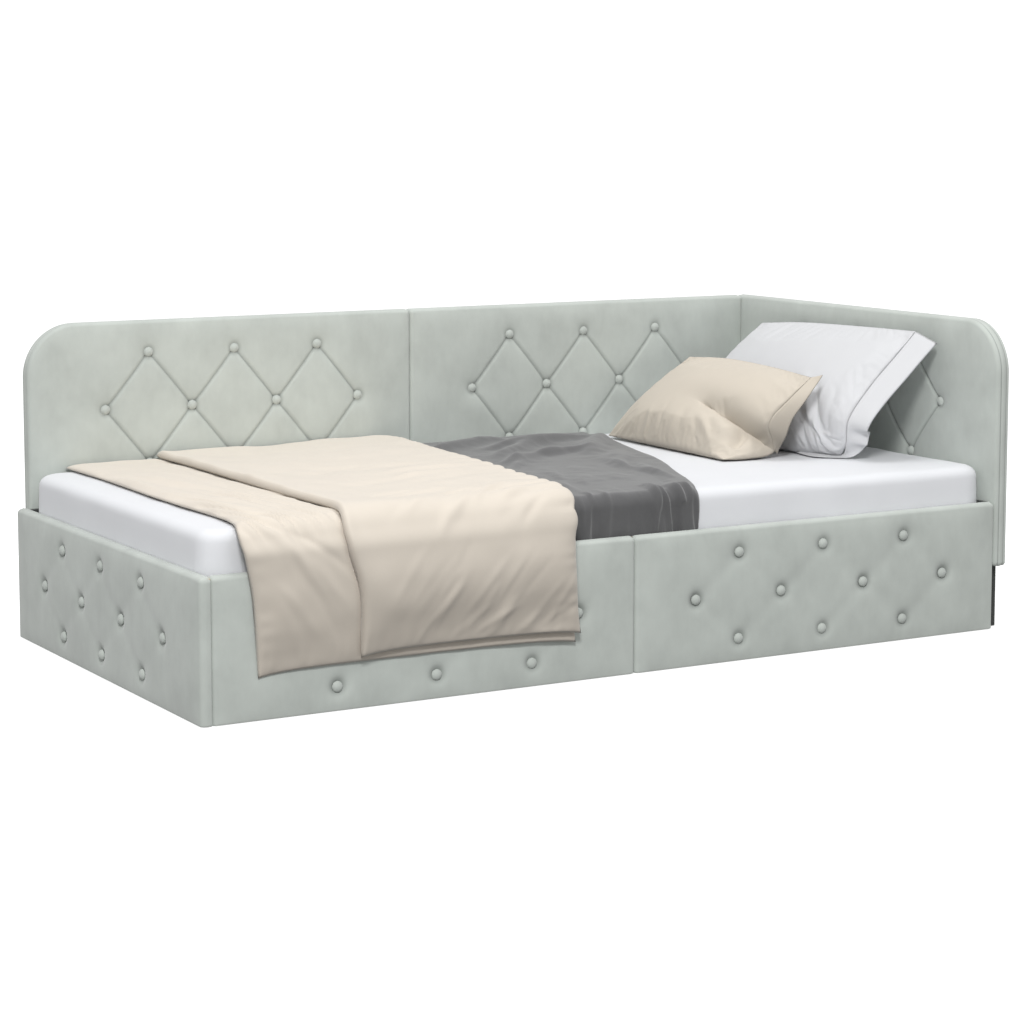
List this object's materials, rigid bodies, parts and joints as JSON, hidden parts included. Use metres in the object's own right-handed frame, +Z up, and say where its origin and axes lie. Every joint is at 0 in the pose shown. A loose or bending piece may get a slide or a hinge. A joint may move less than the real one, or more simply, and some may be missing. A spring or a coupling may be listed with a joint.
{
  "type": "daybed",
  "caption": "Upholstered corner daybed: tall button-tufted panels at the back and head, low tufted rails, slatted base, mattress, folded duvet, throw and leaning pillows.",
  "frame": {"origin": "on the floor, below the middle of the box round the whole daybed with its bedding", "axes": "+X from the foot end to the head end, +Y from the open front to the wall side, +Z up"},
  "size_m": [2.0964, 1.1284, 0.741],
  "materials": {
    "velvet": "matte",
    "panel_board": "matte",
    "lined_board": "matte",
    "slat_wood": "satin",
    "steel": "satin",
    "black_plastic": "matte",
    "strap_webbing": "matte",
    "mattress_cloth": "matte",
    "sheet_cotton": "matte",
    "throw_cloth": "matte",
    "duvet_cotton": "matte",
    "pillow_cotton": "matte",
    "cushion_cotton": "matte"
  },
  "bodies": {
    "bed_frame": {"foot_panel_board": "panel_board", "foot_panel_upholstery": "velvet", "foot_panel_buttons": "velvet", "front_rail_left_board": "panel_board", "front_rail_left_upholstery": "velvet", "front_rail_left_buttons": "velvet", "front_rail_right_board": "panel_board", "front_rail_right_upholstery": "velvet", "front_rail_right_buttons": "velvet", "back_panel_left_board": "lined_board", "back_panel_left_upholstery": "velvet", "back_panel_left_buttons": "velvet", "back_panel_right_board": "lined_board", "back_panel_right_upholstery": "velvet", "back_panel_right_buttons": "velvet", "head_panel_board": "lined_board", "head_panel_upholstery": "velvet", "head_panel_buttons": "velvet", "back_rail_left": "lined_board", "back_rail_right": "lined_board", "head_rail": "lined_board", "panel_legs": "lined_board", "panel_spacers": "steel", "panel_bolts": "steel", "corner_brackets": "steel", "corner_bolts": "steel", "seam_plates": "steel", "seam_bolts": "steel", "beam_joint_plates": "steel", "beam_hangers": "steel", "hanger_screws": "steel", "slat_ledge_front_left": "slat_wood", "slat_ledge_front_right": "slat_wood", "slat_ledge_back_left": "slat_wood", "slat_ledge_back_right": "slat_wood", "centre_beam_left": "slat_wood", "centre_beam_right": "slat_wood", "centre_legs": "slat_wood", "centre_leg_glides": "black_plastic", "floor_glides": "black_plastic", "slat_straps": "strap_webbing", "slat_01": "slat_wood", "slat_02": "slat_wood", "slat_03": "slat_wood", "slat_04": "slat_wood", "slat_05": "slat_wood", "slat_06": "slat_wood", "slat_07": "slat_wood", "slat_08": "slat_wood", "slat_09": "slat_wood", "slat_10": "slat_wood", "slat_11": "slat_wood", "slat_12": "slat_wood", "slat_13": "slat_wood"},
    "mattress": {"mattress": "mattress_cloth", "fitted_sheet": "sheet_cotton"},
    "throw_blanket": {"throw_blanket": "throw_cloth"},
    "duvet": {"duvet": "duvet_cotton"},
    "pillow": {"pillow": "pillow_cotton"},
    "cushion": {"cushion": "cushion_cotton"}
  },
  "joints": [
    {"name": "mattress_lift", "type": "slide", "parent": "bed_frame", "child": "mattress", "axis": [0, 0, 1], "range_m": [0, 0.6]},
    {"name": "throw_lift", "type": "slide", "parent": "mattress", "child": "throw_blanket", "axis": [0, 0, 1], "range_m": [0, 0.55]},
    {"name": "duvet_lift", "type": "slide", "parent": "throw_blanket", "child": "duvet", "axis": [0, 0, 1], "range_m": [0, 0.66]},
    {"name": "pillow_lift", "type": "slide", "parent": "mattress", "child": "pillow", "axis": [0, 0, 1], "range_m": [0, 0.4]},
    {"name": "cushion_lift", "type": "slide", "parent": "pillow", "child": "cushion", "axis": [0, 0, 1], "range_m": [0, 0.4]}
  ]
}
